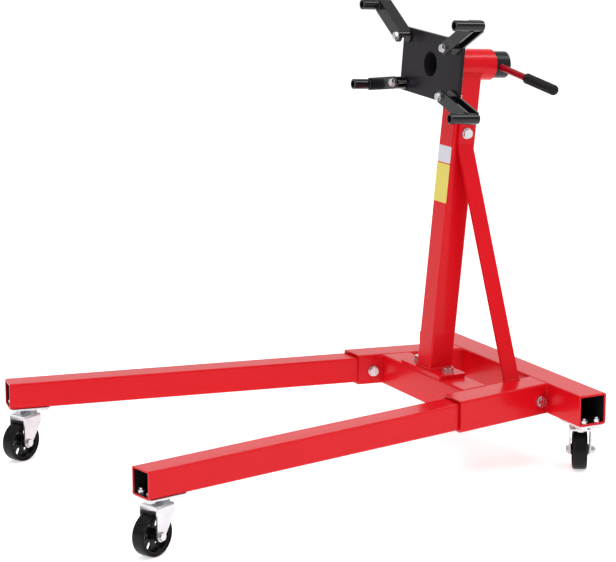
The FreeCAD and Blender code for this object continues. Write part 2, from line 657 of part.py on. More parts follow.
def wheel_window(angle):
    near, far, half = WINDOW
    slot = box(near, far, -WHEEL_R, WHEEL_R, -half, half)
    ends = [cylinder(half, vec(x, -WHEEL_R, 0), Y_AXIS, 2 * WHEEL_R) for x in (near, far)]
    centre = vec(TRAIL, 0, WHEEL_R)
    return placed(slot.fuse(ends), FreeCAD.Placement(centre, FreeCAD.Rotation(Y_AXIS, angle)))


def wheel_core():
    """Moulded core: hub, web with oval windows, and rim."""
    centre = vec(TRAIL, 0, WHEEL_R)
    thick, width = RIM
    hub = cylinder(HUB_R, centre - Y_AXIS * (HUB_WIDTH / 2), Y_AXIS, HUB_WIDTH)
    web = cylinder(TYRE_INNER_R - thick / 2, centre - Y_AXIS * (WEB_THICK / 2), Y_AXIS, WEB_THICK)
    rim = ring(TYRE_INNER_R, TYRE_INNER_R - thick, centre - Y_AXIS * (width / 2), Y_AXIS, width)
    core = hub.fuse([web, rim]).removeSplitter()
    core = cut_all(core, [wheel_window(360.0 / WINDOWS * i) for i in range(WINDOWS)])
    return core.cut(cylinder(BUSH_R + RUNNING, centre - Y_AXIS * WHEEL_R, Y_AXIS, 2 * WHEEL_R))


def wheel_tyre():
    centre = vec(TRAIL, 0, WHEEL_R)
    tyre = cylinder(WHEEL_R, centre - Y_AXIS * (TYRE_WIDTH / 2), Y_AXIS, TYRE_WIDTH)
    tyre = tyre.makeFillet(TYRE_ROUND, rim_edges(tyre))
    inner, outer, deep = TYRE_DISH
    for side in (-1, 1):
        floor = centre + Y_AXIS * (side * (TYRE_WIDTH / 2 - deep))
        tyre = tyre.cut(Part.makeCone(inner, outer, deep, floor, Y_AXIS * side))
    return tyre.cut(cylinder(TYRE_INNER_R, centre - Y_AXIS * WHEEL_R, Y_AXIS, 2 * WHEEL_R))


def caster_kingpin(place, crown):
    start = place + Z_AXIS * (crown - FORK_WALL - RIVET_GAP - RIVET[1])
    rivet = cylinder(RIVET[0], start, Z_AXIS, RIVET[1])
    return rivet.fuse(cylinder(KINGPIN_R, start, Z_AXIS, PIN_LENGTH)).removeSplitter()


def make_casters():
    plates = []
    bolts = []
    nuts = []
    kingpins = []
    rings = []
    for corner, (place, trail_turn, plate_turn, top) in caster_table().items():
        swivel = FreeCAD.Placement(place, FreeCAD.Rotation(Z_AXIS, trail_turn))
        frame = FreeCAD.Placement(place, FreeCAD.Rotation(Z_AXIS, plate_turn))
        plates.append(placed(caster_plate(top), frame))
        wall = LEG_WALL if corner.startswith("front") else BASE_WALL
        for spot in caster_bolt_spots(corner):
            seat = spot + Z_AXIS * (top - CASTER_PLATE[2])
            length = CASTER_PLATE[2] + wall + M8["nut"] + BOLT_STICKS_OUT
            bolts.append(bolt(M8, seat, Z_AXIS * -1, length))
            nuts.append(nut(M8, spot + Z_AXIS * (top + wall), Z_AXIS))
        crown = top - CROWN_DROP
        kingpins.append(caster_kingpin(place, crown))
        outer, inner, high = BALL_RING
        rings.append(ring(outer, inner, place + Z_AXIS * (crown + BALL_RING_GAP), Z_AXIS, high))
        nodes["fork_" + corner] = placed(caster_fork(top), swivel)
        nodes["axle_" + corner] = placed(caster_axle(), swivel)
        nodes["wheel_core_" + corner] = placed(wheel_core(), swivel)
        nodes["wheel_tyre_" + corner] = placed(wheel_tyre(), swivel)
    nodes["caster_plates"] = Part.makeCompound(plates)
    nodes["caster_plate_bolts"] = Part.makeCompound(bolts)
    nodes["caster_plate_nuts"] = Part.makeCompound(nuts)
    nodes["caster_kingpins"] = Part.makeCompound(kingpins)
    nodes["caster_ball_rings"] = Part.makeCompound(rings)


def main():
    make_crossbar()
    make_sleeves()
    make_member()
    make_legs()
    make_clamps()
    make_mast()
    make_foot()
    make_braces()
    make_labels()
    make_collar()
    make_lock_screw()
    make_spindle()
    make_plate()
    make_arms()
    make_handle()
    make_casters()
    os.makedirs("parts", exist_ok=True)
    whole = FreeCAD.BoundBox()
    for name, shape in nodes.items():
        shape.translate(vec(0, CROSSBAR_FRONT_Y, 0))
        whole.add(shape.BoundBox)
        if not shape.isValid() or not all(solid.isClosed() for solid in shape.Solids):
            print("not a sound solid:", name)
        shape.exportStep("parts/" + name + ".step")
    print("nodes", len(nodes), "box", whole)


main()
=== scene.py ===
import json
import logging
import math
import random
from dataclasses import dataclass
from enum import Enum
from typing import Any, Iterable, Optional, Sequence

import bmesh
import bpy
from mathutils import Matrix, Vector


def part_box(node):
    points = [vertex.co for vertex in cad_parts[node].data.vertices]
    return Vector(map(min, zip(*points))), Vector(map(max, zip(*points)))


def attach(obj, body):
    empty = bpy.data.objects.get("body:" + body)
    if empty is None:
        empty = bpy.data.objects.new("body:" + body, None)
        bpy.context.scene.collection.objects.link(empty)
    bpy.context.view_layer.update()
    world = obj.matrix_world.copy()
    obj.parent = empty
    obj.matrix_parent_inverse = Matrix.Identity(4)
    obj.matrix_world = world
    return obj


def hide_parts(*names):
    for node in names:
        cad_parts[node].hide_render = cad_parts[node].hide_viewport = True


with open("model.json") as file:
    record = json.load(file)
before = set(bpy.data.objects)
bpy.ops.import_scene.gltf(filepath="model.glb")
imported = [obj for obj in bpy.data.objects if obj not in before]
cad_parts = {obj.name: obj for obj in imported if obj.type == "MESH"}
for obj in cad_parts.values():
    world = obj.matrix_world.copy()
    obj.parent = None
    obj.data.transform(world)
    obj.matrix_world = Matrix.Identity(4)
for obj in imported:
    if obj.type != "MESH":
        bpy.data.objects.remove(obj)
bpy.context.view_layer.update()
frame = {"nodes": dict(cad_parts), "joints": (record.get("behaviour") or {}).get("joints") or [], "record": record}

LOG = logging.getLogger("engine_stand")
MM = 0.001
MAST_LEAN = 5.8          # degrees that the mast leans back
LEG_SPLAY = 10.4         # degrees that each leg turns outwards
SIDEWAYS = Vector((1, 0, 0))
UPWARDS = Vector((0, 0, 1))
CORNERS = ("front_right", "front_left", "rear_right", "rear_left")
ARM_NAMES = ("upper_left", "upper_right", "lower_left", "lower_right")
JOINTS = {joint["name"]: joint for joint in frame["joints"]}
MOUNTS = {mount["name"]: mount for mount in frame["record"]["mounts"]}


class Slot(Enum):
    """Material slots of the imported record."""

    FRAME_RED = "frame_red"
    HANDLE_RED = "handle_red"
    PLATE_BLACK = "plate_black"
    ARM_BLACK = "arm_black"
    SPINDLE_BLACK = "spindle_black"
    ZINC = "zinc"
    CASTER_STEEL = "caster_steel"
    GRIP_RUBBER = "grip_rubber"
    WHEEL_PLASTIC = "wheel_plastic"
    TYRE_BLACK = "tyre_black"
    LABEL_WHITE = "label_white"
    LABEL_YELLOW = "label_yellow"


# ---------------------------------------------------------------- shader maths
class Shade:
    """A number socket that can be used in Python sums.

    Args:
        tree: The node tree that the socket belongs to.
        socket: The output socket that carries the number.
    """

    def __init__(self, tree: bpy.types.NodeTree, socket: bpy.types.NodeSocket) -> None:
        """Keeps the tree and the socket."""
        self.tree = tree
        self.socket = socket

    def _join(self, operation: str, first: Any, second: Any) -> "Shade":
        """Adds one Math node.

        Args:
            operation: The Math node's operation.
            first: A number or a Shade for the first input.
            second: A number or a Shade for the second input.

        Returns:
            The result as a Shade.
        """
        node = self.tree.nodes.new("ShaderNodeMath")
        node.operation = operation
        for index, value in enumerate((first, second)):
            if isinstance(value, Shade):
                self.tree.links.new(value.socket, node.inputs[index])
            else:
                node.inputs[index].default_value = float(value)
        return Shade(self.tree, node.outputs[0])

    def __add__(self, other: Any) -> "Shade":
        """Sum."""
        return self._join("ADD", self, other)

    __radd__ = __add__

    def __sub__(self, other: Any) -> "Shade":
        """Difference."""
        return self._join("SUBTRACT", self, other)

    def __rsub__(self, other: Any) -> "Shade":
        """Difference from a number."""
        return self._join("SUBTRACT", other, self)

    def __mul__(self, other: Any) -> "Shade":
        """Product."""
        return self._join("MULTIPLY", self, other)

    __rmul__ = __mul__

    def __pow__(self, other: Any) -> "Shade":
        """Power."""
        return self._join("POWER", self, other)

    def __rpow__(self, other: Any) -> "Shade":
        """Power of a number."""
        return self._join("POWER", other, self)

    def floored(self, low: float) -> "Shade":
        """The value or the floor, whichever is more."""
        return self._join("MAXIMUM", self, low)

    def capped(self, high: float) -> "Shade":
        """The value or the cap, whichever is less."""
        return self._join("MINIMUM", self, high)


class NodeMaker:
    """Adds nodes to one tree.

    Args:
        tree: The node tree, which is emptied first.
    """

    def __init__(self, tree: bpy.types.NodeTree) -> None:
        """Empties the tree."""
        self.tree = tree
        self.tree.nodes.clear()

    def node(self, kind: str, settings: Optional[dict] = None, **values: Any) -> bpy.types.Node:
        """Adds one node.

        Args:
            kind: The node's type, without its ShaderNode prefix.
            settings: The node's own settings, set before its sockets.
            values: Values or links by socket name, with _ for a space.

        Returns:
            The new node.
        """
        node = self.tree.nodes.new("ShaderNode" + kind)
        for name, value in (settings or {}).items():
            setattr(node, name, value)
        for name, value in values.items():
            self.put(self._socket(node, name.replace("_", " ")), value)
        return node

    @staticmethod
    def _socket(node: bpy.types.Node, name: str) -> bpy.types.NodeSocket:
        """Finds the enabled input socket of that name."""
        return next(item for item in node.inputs if item.name == name and item.enabled)

    def put(self, socket: bpy.types.NodeSocket, value: Any) -> None:
        """Links or sets one socket.

        Args:
            socket: The input socket.
            value: A Shade, an output socket, a number or a colour.
        """
        if isinstance(value, Shade):
            self.tree.links.new(value.socket, socket)
        elif isinstance(value, bpy.types.NodeSocket):
            self.tree.links.new(value, socket)
        elif isinstance(value, tuple) and len(value) == 3 and len(socket.default_value) == 4:
            socket.default_value = (*value, 1.0)
        else:
            socket.default_value = value


class FinishTree(NodeMaker):
    """The node tree of one finish.

    Args:
        name: The material's name.
    """

    def __init__(self, name: str) -> None:
        """Makes a material with a Principled shader and its output."""
        self.material = bpy.data.materials.new(name)
        self.material.use_nodes = True
        super().__init__(self.material.node_tree)
        self.shader = self.node("BsdfPrincipled")
        self.node("OutputMaterial", Surface=self.shader.outputs["BSDF"])
        self.coordinates = self.node("TexCoord").outputs["Object"]

    def surface(self, **values: Any) -> None:
        """Sets the Principled shader's sockets by name, with _ for a space."""
        for name, value in values.items():
            self.put(self._socket(self.shader, name.replace("_", " ")), value)

    def noise(self, scale: float, detail: float = 3.0, roughness: float = 0.5,
              stretch: tuple = (1.0, 1.0, 1.0)) -> Shade:
        """Fractal noise on Object coordinates.

        Args:
            scale: Cells per metre.
            detail: Octaves.
            roughness: How strong the finer octaves are.
            stretch: Scale along each axis.

        Returns:
            The noise, from 0 to 1.
        """
        place = self.node("Mapping", Vector=self.coordinates, Scale=stretch)
        made = self.node("TexNoise", {"noise_dimensions": "3D"}, Vector=place.outputs[0],
                         Scale=scale, Detail=detail, Roughness=roughness)
        return Shade(self.tree, made.outputs["Fac"])

    def blend(self, mask: Any, low: tuple, high: tuple) -> bpy.types.NodeSocket:
        """Mixes two colours.

        Args:
            mask: Where the second colour shows.
            low: Colour where the mask is nought.
            high: Colour where the mask is one.

        Returns:
            The colour output.
        """
        mix = self.node("Mix", {"data_type": "RGBA"}, Factor=mask, A=low, B=high)
        return next(item for item in mix.outputs if item.enabled)

    def bump(self, height: Shade, strength: float, distance: float) -> None:
        """Roughens the surface.

        Args:
            height: The relief, from 0 to 1.
            strength: Share of the relief that shows.
            distance: Height of the relief in metres.
        """
        made = self.node("Bump", Height=height, Strength=strength, Distance=distance)
        self.surface(Normal=made.outputs["Normal"])


# ---------------------------------------------------------------- finishes
@dataclass(frozen=True)
class Paint:
    """A sprayed or powder-coated paint.

    Args:
        name: Material name.
        deep: Colour where the coat is thick.
        light: Colour where it is thin.
        rough: Lowest roughness.
        rough_range: Added roughness at most.
        coat: Weight of the clear top layer.
        coat_rough: Its roughness.
        specular: Strength of the reflection.
        peel: Cells per metre of the orange peel.
        peel_height: Height of the orange peel in metres.
    """

    name: str
    deep: tuple
    light: tuple
    rough: float = 0.2
    rough_range: float = 0.1
    coat: float = 0.4
    coat_rough: float = 0.08
    specular: float = 0.35
    peel: float = 420.0
    peel_height: float = 0.00006

    def material(self) -> bpy.types.Material:
        """Builds the node tree.

        Returns:
            The material.
        """
        tree = FinishTree(self.name)
        cloud = tree.noise(7.0, detail=4.0)
        dust = tree.noise(160.0, detail=3.0, roughness=0.6)
        peel = tree.noise(self.peel, detail=2.0)
        fine = tree.noise(self.peel * 4.0, detail=1.0)
        tree.surface(
            Base_Color=tree.blend(cloud * 0.75 + dust * 0.25, self.deep, self.light),
            Roughness=self.rough + (cloud * 0.6 + dust * 0.4) * self.rough_range,
            Specular_IOR_Level=self.specular,
            Coat_Weight=self.coat,
            Coat_Roughness=self.coat_rough,
        )
        tree.bump(peel * 0.8 + fine * 0.2, 0.35, self.peel_height)
        return tree.material


@dataclass(frozen=True)
class PlatedSteel:
    """Zinc-plated or bright rolled steel.

    Args:
        name: Material name.
        bright: Colour of the clean metal.
        warm: Colour of the passivated patches.
        rough: Lowest roughness.
        rough_range: Added roughness at most.
        grain: Cells per metre of the rolling grain.
        stretch: Scale of the grain along each axis.
    """

    name: str
    bright: tuple
    warm: tuple
    rough: float = 0.22
    rough_range: float = 0.22
    grain: float = 300.0
    stretch: tuple = (1.0, 1.0, 0.2)

    def material(self) -> bpy.types.Material:
        """Builds the node tree.

        Returns:
            The material.
        """
        tree = FinishTree(self.name)
        patch = tree.noise(45.0, detail=3.0)
        grain = tree.noise(self.grain, detail=4.0, roughness=0.65, stretch=self.stretch)
        pits = tree.noise(1500.0, detail=2.0)
        tree.surface(
            Base_Color=tree.blend(patch * 0.7 + grain * 0.3, self.bright, self.warm),
            Metallic=1.0,
            Roughness=self.rough + (grain * 0.6 + patch * 0.4) * self.rough_range,
        )
        tree.bump(grain * 0.6 + pits * 0.4, 0.3, 0.00005)
        return tree.material


@dataclass(frozen=True)
class Moulding:
    """Moulded plastic or rubber.

    Args:
        name: Material name.
        dark: Colour of the clean surface.
        dusty: Colour of the scuffed and dusty patches.
        rough: Lowest roughness.
        rough_range: Added roughness at most.
        grain: Cells per metre of the mould's grain.
        grain_height: Height of the grain in metres.
        specular: Strength of the reflection.
    """

    name: str
    dark: tuple
    dusty: tuple
    rough: float = 0.25
    rough_range: float = 0.2
    grain: float = 900.0
    grain_height: float = 0.00006
    specular: float = 0.5

    def material(self) -> bpy.types.Material:
        """Builds the node tree.

        Returns:
            The material.
        """
        tree = FinishTree(self.name)
        patch = tree.noise(28.0, detail=4.0, roughness=0.6)
        grain = tree.noise(self.grain, detail=2.0)
        scuff = tree.noise(120.0, detail=5.0, roughness=0.7, stretch=(1.0, 1.0, 3.0))
        wear = (scuff ** 3.0) * patch * 2.0
        tree.surface(
            Base_Color=tree.blend(wear.capped(1.0), self.dark, self.dusty),
            Roughness=self.rough + (patch * 0.5 + scuff * 0.5) * self.rough_range,
            Specular_IOR_Level=self.specular,
        )
        tree.bump(grain * 0.7 + scuff * 0.3, 0.35, self.grain_height)
        return tree.material


@dataclass(frozen=True)
class LabelFilm:
    """Printed film under a thin clear laminate, left without lettering.

    Args:
        name: Material name.
        ground: Colour of the film.
        faded: Colour of its paler patches.
    """

    name: str
    ground: tuple
    faded: tuple

    def material(self) -> bpy.types.Material:
        """Builds the node tree.

        Returns:
            The material.
        """
        tree = FinishTree(self.name)
        fade = tree.noise(30.0, detail=3.0)
        speck = tree.noise(700.0, detail=2.0)
        tree.surface(
            Base_Color=tree.blend(fade * 0.7 + speck * 0.3, self.ground, self.faded),
            Roughness=0.28 + speck * 0.12,
            Specular_IOR_Level=0.4,
        )
        tree.bump(tree.noise(90.0, detail=2.0) * 0.6 + speck * 0.4, 0.25, 0.0001)
        return tree.material


class Finishes:
    """Every finish of the stand, made once."""

    def __init__(self) -> None:
        """Builds the materials."""
        recipes = {
            Slot.FRAME_RED: Paint("red_powder_coat", (0.58, 0.002, 0.006), (0.67, 0.004, 0.012),
                                  rough=0.24, coat=0.14, coat_rough=0.07, specular=0.12),
            Slot.HANDLE_RED: Paint("dark_red_paint", (0.27, 0.002, 0.008), (0.36, 0.004, 0.012),
                                   rough=0.30, coat=0.04, specular=0.12),
            Slot.PLATE_BLACK: Paint("plate_black_paint", (0.013, 0.010, 0.014),
                                    (0.018, 0.014, 0.020), rough=0.24, coat=0.03, specular=0.09),
            Slot.ARM_BLACK: Paint("arm_black_paint", (0.004, 0.004, 0.005), (0.009, 0.008, 0.010),
                                  rough=0.14, coat=0.3, coat_rough=0.05, specular=0.2),
            Slot.SPINDLE_BLACK: Paint("spindle_black_paint", (0.008, 0.009, 0.010),
                                      (0.014, 0.015, 0.016), rough=0.26, coat=0.04, specular=0.16),
            Slot.ZINC: PlatedSteel("bright_zinc", (0.70, 0.71, 0.75), (0.52, 0.51, 0.50),
                                   rough=0.16),
            Slot.CASTER_STEEL: PlatedSteel("pressed_steel", (0.70, 0.71, 0.74),
                                           (0.52, 0.52, 0.55), rough=0.22, grain=180.0),
            Slot.GRIP_RUBBER: Moulding("grip_rubber", (0.008, 0.007, 0.008), (0.030, 0.029, 0.031),
                                       rough=0.48, specular=0.12),
            Slot.WHEEL_PLASTIC: Moulding("wheel_plastic", (0.005, 0.005, 0.006),
                                         (0.020, 0.019, 0.019), rough=0.16, specular=0.16),
            Slot.TYRE_BLACK: Moulding("tyre_rubber", (0.005, 0.005, 0.005), (0.024, 0.022, 0.021),
                                      rough=0.22, grain=600.0, specular=0.12),
            Slot.LABEL_WHITE: LabelFilm("white_film", (0.58, 0.57, 0.64), (0.66, 0.65, 0.72)),
            Slot.LABEL_YELLOW: LabelFilm("yellow_film", (0.66, 0.56, 0.08), (0.74, 0.64, 0.14)),
        }
        self.made = {slot: recipe.material() for slot, recipe in recipes.items()}

    def dress(self, piece: bpy.types.Object, slot: Slot) -> None:
        """Gives a new piece its finish.

        Args:
            piece: The new piece.
            slot: Its finish.
        """
        piece.data.materials.clear()
        piece.data.materials.append(self.made[slot])

    def dress_frame(self) -> None:
        """Gives every CAD node the finish that the record names for it."""
        for row in frame["record"]["subparts"]:
            piece = frame["nodes"][row["node"]]
            material = self.made[Slot(row["material_slot"])]
            if not piece.material_slots:
                piece.data.materials.append(material)
            for place in piece.material_slots:
                place.material = material


# ---------------------------------------------------------------- mesh helpers
def axes_matrix(origin: Vector, along: Vector, upward: Vector) -> Matrix:
    """A frame whose Z runs along a direction.

    Args:
        origin: The frame's origin.
        along: Direction of its Z.
        upward: Rough direction of its X.

    Returns:
        The frame as a 4 by 4 matrix.
    """
    z_axis = along.normalized()
    x_axis = (upward - z_axis * upward.dot(z_axis)).normalized()
    y_axis = z_axis.cross(x_axis)
    turn = Matrix((x_axis, y_axis, z_axis)).transposed().to_4x4()
    return Matrix.Translation(origin) @ turn


def finish_piece(name: str, mesh: bmesh.types.BMesh, body: str, smooth_below: float = 40.0,
                 inside_out: bool = False) -> bpy.types.Object:
    """Turns a bmesh into a piece that rides on a body.

    Args:
        name: The piece's name.
        mesh: The finished bmesh, in the row frame. It is freed.
        body: The body that it rides on.
        smooth_below: Edges flatter than this many degrees are shaded smooth.
        inside_out: True for a skin that is seen from within.

    Returns:
        The new object.
    """
    bmesh.ops.recalc_face_normals(mesh, faces=mesh.faces)
    if inside_out:
        bmesh.ops.reverse_faces(mesh, faces=mesh.faces)
    data = bpy.data.meshes.new(name)
    mesh.to_mesh(data)
    mesh.free()
    for face in data.polygons:
        face.use_smooth = True
    data.set_sharp_from_angle(angle=math.radians(smooth_below))
    piece = bpy.data.objects.new(name, data)
    bpy.context.scene.collection.objects.link(piece)
    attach(piece, body)
    LOG.info("%s: %d faces on %s", name, len(data.polygons), body)
    return piece


def spun(profile: Sequence[tuple], steps: int, closed: bool) -> bmesh.types.BMesh:
    """A profile spun round Z.

    Args:
        profile: Radius and height of each point, in millimetres.
        steps: Steps of the spin.
        closed: True if the last point joins the first.

    Returns:
        The bmesh, with its poles merged.
    """
    mesh = bmesh.new()
    points = [mesh.verts.new((radius * MM, 0.0, height * MM)) for radius, height in profile]
    pairs = list(zip(points, points[1:]))
    if closed:
        pairs.append((points[-1], points[0]))
    edges = [mesh.edges.new(pair) for pair in pairs]
    bmesh.ops.spin(mesh, geom=points + edges, cent=(0, 0, 0), axis=(0, 0, 1), dvec=(0, 0, 0),
                   angle=math.tau, steps=steps, use_merge=True, use_duplicate=False)
    bmesh.ops.remove_doubles(mesh, verts=mesh.verts, dist=0.000002)
    return mesh


def joint_frame(name: str) -> tuple[Vector, Vector]:
    """Place and axis of a joint, in metres."""
    joint = JOINTS[name]
    return Vector(joint["pos_m"]), Vector(joint["axis"]).normalized()


def rounded(points: Sequence[tuple], corner: float, parts: int = 4) -> list[tuple]:
    """Rounds the corners of a closed profile.

    Args:
        points: Corners, in order.
        corner: Length taken from each side of a corner.
        parts: Pieces of each rounded corner.

    Returns:
        The rounded profile.
    """
    result: list[tuple] = []
    for index, point in enumerate(points):
        here = Vector((point[0], point[1]))
        before = Vector((points[index - 1][0], points[index - 1][1]))
        after = Vector((points[(index + 1) % len(points)][0], points[(index + 1) % len(points)][1]))
        cut_in = min(corner, (here - before).length * 0.45)
        cut_out = min(corner, (after - here).length * 0.45)
        start = here + (before - here).normalized() * cut_in
        end = here + (after - here).normalized() * cut_out
        for step in range(parts + 1):
            share = step / parts
            place = start * (1 - share) ** 2 + here * 2 * share * (1 - share) + end * share ** 2
            result.append((place.x, place.y))
    return result


# ---------------------------------------------------------------- welds
@dataclass
class WeldSeams:
    """Ripples of weld metal along the seams of the frame and the head.

    Args:
        finishes: The finishes.
        mast_half: Half the mast's width in millimetres, as all sizes here.
        base_top: Height of the base's top.
        plate_thick: Thickness of the mast's foot plate.
        base_side: Side of the base's square tube.
        sleeve_inner: Distance from the middle to a sleeve's inner face, at the crossbar.
        ripple: Spacing of the ripples.
        seed: Seed of the small differences between ripples.
        collar_radius: Radius of the collar that the mast's end is notched round.
        spindle_radius: Radius of the spindle.
        plate_rear: Back of the head plate along the head's axis.
        arm_seat: Height of an arm's seam above the bolt's seat.
        arm_tube_radius: Radius of the seam round an arm's end tube.
        arm_arc: Half the angle of that seam, in degrees.
        foot_bead: Radius of the bead round the mast's foot.
        saddle_bead: Radius of the bead round the collar.
        corner_bead: Radius of the upright beads of the base, and round the braces' feet.
        edge_bead: Radius of the level beads of the base.
        ring_bead: Radius of the beads on the spindle and the lock's boss.
        arm_bead: Radius of the beads on the arms.
        edge_gap: Distance of a level bead inside the tube's face.
        corner_gap: Distance of a bead's end from the tube's corner.
        sink: Distance that a bead is set into the corner.
    """

    finishes: Finishes
    mast_half: float = 25.0
    base_top: float = 160.0
    plate_thick: float = 8.0
    base_side: float = 60.0
    sleeve_inner: float = 125.0
    ripple: float = 2.4
    seed: int = 7
    collar_radius: float = 29.6
    spindle_radius: float = 25.5
    plate_rear: float = 67.8
    arm_seat: float = 26.9
    arm_tube_radius: float = 11.0
    arm_arc: float = 62.0
    foot_bead: float = 3.4
    saddle_bead: float = 3.2
    corner_bead: float = 2.6
    edge_bead: float = 1.7
    ring_bead: float = 1.9
    arm_bead: float = 1.8
    edge_gap: float = 0.9
    corner_gap: float = 3.0
    sink: float = 0.3

    def __post_init__(self) -> None:
        """Sets up the random draws and the places that the frame gives."""
        self.draws = random.Random(self.seed)
        self.head, self.forward = joint_frame("head_spin")
        self.crossbar_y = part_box("rear_crossbar")[0].y / MM

    def chain(self, mesh: bmesh.types.BMesh, path: Sequence[Vector], radius: float) -> None:
        """Adds overlapping ripples along a path.

        Args:
            mesh: The bmesh that takes them.
            path: Points of the seam, in millimetres.
            radius: Radius of the bead in millimetres.
        """
        for start, end in zip(path, path[1:]):
            run = end - start
            if run.length < 0.01:
                continue
            count = max(1, round(run.length / self.ripple))
            direction = run.normalized()
            for index in range(count):
                place = start + run * ((index + 0.5) / count)
                size = radius * self.draws.uniform(0.9, 1.08)
                where = axes_matrix(place * MM, direction, Vector((0.31, 0.27, 0.91)))
                tilt = Matrix.Rotation(self.draws.uniform(-0.12, 0.12), 4, "Y")
                scale = Matrix.Diagonal((size, size, self.ripple * 0.95, 1.0))
                bmesh.ops.create_uvsphere(mesh, u_segments=8, v_segments=5, radius=MM,
                                          matrix=where @ tilt @ scale)

    def save(self, name: str, mesh: bmesh.types.BMesh, body: str, slot: Slot) -> None:
        """Finishes one group of seams."""
        self.finishes.dress(finish_piece(name, mesh, body, 80.0), slot)

    def mast_foot(self) -> None:
        """Seam round the mast on its foot plate."""
        mesh = bmesh.new()
        height = self.base_top + self.plate_thick
        low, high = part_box("mast_tube")
        half_y = self.mast_half / math.cos(math.radians(MAST_LEAN))
        middle_y = low.y / MM + half_y
        middle_x = (low.x + high.x) / 2 / MM
        ring = [(self.mast_half, -half_y), (self.mast_half, half_y),
                (-self.mast_half, half_y), (-self.mast_half, -half_y)]
        path = [Vector((middle_x + x, middle_y + y, height + 0.6)) for x, y in rounded(ring, 3.5)]
        self.chain(mesh, path + path[:1], self.foot_bead)
        self.save("mast_foot_weld", mesh, "frame", Slot.FRAME_RED)

    def collar_saddle(self) -> None:
        """Seam where the mast's end is notched round the collar."""
        mesh = bmesh.new()
        down = self.forward.cross(SIDEWAYS).normalized()
        if down.z > 0:
            down = -down
        lean = math.radians(MAST_LEAN)
        mast_down = Vector((0, -math.sin(lean), -math.cos(lean)))
        radius = self.collar_radius
        loop = []
        count = 10
        for sign in (1, -1):
            for step in range(count + 1):
                x = sign * (-self.mast_half + 2 * self.mast_half * step / count)
                drop = math.sqrt(radius ** 2 - x ** 2)
                slide = sign * self.mast_half / math.cos(lean) + drop * mast_down.dot(self.forward)
                loop.append(self.head / MM + self.forward * slide + down * drop + SIDEWAYS * x)
        self.chain(mesh, loop + loop[:1], self.saddle_bead)
        self.save("collar_saddle_weld", mesh, "frame", Slot.FRAME_RED)

    def base_corners(self) -> None:
        """Seams between the sleeves, the crossbar and the front member."""
        mesh = bmesh.new()
        splay = math.radians(LEG_SPLAY)
        slope = math.tan(splay)
        inner = self.sleeve_inner
        outer = inner + self.base_side / math.cos(splay)
        low = self.base_top - self.base_side
        heights = (low + self.corner_gap, self.base_top - self.corner_gap)
        levels = (self.base_top - self.edge_gap, low + self.edge_gap)
        member_low, member_high = (corner.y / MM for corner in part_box("front_crossmember"))
        for side in (-1, 1):
            for x in (inner, outer):
                seam = [Vector((side * x, self.crossbar_y - self.sink, z)) for z in heights]
                self.chain(mesh, seam, self.corner_bead)
            for level in levels:
                ends = (inner + self.corner_gap, outer - self.corner_gap)
                seam = [Vector((side * x, self.crossbar_y, level)) for x in ends]
                self.chain(mesh, seam, self.edge_bead)
            for y in (member_low, member_high):
                x = inner + (self.crossbar_y - y) * slope
                seam = [Vector((side * (x - self.sink), y, z)) for z in heights]
                self.chain(mesh, seam, self.corner_bead)
            for level in levels:
                seam = [Vector((side * (inner + (self.crossbar_y - y) * slope), y, level))
                        for y in (member_low + self.corner_gap, member_high - self.corner_gap)]
                self.chain(mesh, seam, self.edge_bead)
        self.save("base_corner_welds", mesh, "frame", Slot.FRAME_RED)

    def brace_feet(self) -> None:
        """Seams along both faces of each brace's foot."""
        mesh = bmesh.new()
        node = frame["nodes"]["right_brace"].data
        foot = [vertex.co / MM for vertex in node.vertices
                if vertex.co.z / MM < self.base_top + 0.5]
        low_x, high_x = min(p.x for p in foot), max(p.x for p in foot)
        low_y, high_y = min(p.y for p in foot), max(p.y for p in foot)
        ring = [(low_x, low_y), (high_x, low_y), (high_x, high_y), (low_x, high_y)]
        for side in (-1, 1):
            path = [Vector((side * x, y, self.base_top + 0.4)) for x, y in ring + ring[:1]]
            self.chain(mesh, path, self.corner_bead)
        self.save("brace_foot_welds", mesh, "frame", Slot.FRAME_RED)

    def circle(self, mesh: bmesh.types.BMesh, centre: Vector, axis: Vector, radius: float,
               bead: float, start: Vector, arc: tuple = (0.0, 360.0)) -> None:
        """Adds a round seam.

        Args:
            mesh: The bmesh that takes it.
            centre: Centre, in millimetres.
            axis: Axis of the circle.
            radius: Its radius.
            bead: Radius of the bead.
            start: Direction of the angle nought.
            arc: First and last angle in degrees.
        """
        turn = axes_matrix(centre, axis, start)
        count = max(6, round(math.radians(arc[1] - arc[0]) * radius / self.ripple))
        path = []
        for step in range(count + 1):
            angle = math.radians(arc[0] + (arc[1] - arc[0]) * step / count)
            path.append(turn @ Vector((radius * math.cos(angle), radius * math.sin(angle), 0)))
        self.chain(mesh, path, bead)

    def head_ring(self) -> None:
        """Seam between the spindle and the back of the head plate."""
        mesh = bmesh.new()
        centre = self.head / MM + self.forward * (self.plate_rear - 1.4)
        radius = self.spindle_radius + 0.6
        self.circle(mesh, centre, self.forward, radius, self.ring_bead, SIDEWAYS)
        self.save("spindle_weld", mesh, "head", Slot.SPINDLE_BLACK)

    def lock_boss(self) -> None:
        """Seam between the lock screw's boss and the collar."""
        mesh = bmesh.new()
        low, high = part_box("lock_boss")
        middle = (low + high) / 2 / MM
        radius = (high.z - low.z) / 2 / MM + 0.5
        turn = axes_matrix(Vector((0, middle.y, middle.z)), -SIDEWAYS, self.forward)
        path = []
        count = 28
        for step in range(count + 1):
            angle = math.tau * step / count
            across = radius * math.sin(angle)
            reach = math.sqrt(self.collar_radius ** 2 - across ** 2)
            path.append(turn @ Vector((radius * math.cos(angle), across, reach)))
        self.chain(mesh, path, self.ring_bead)
        self.save("lock_boss_weld", mesh, "frame", Slot.FRAME_RED)

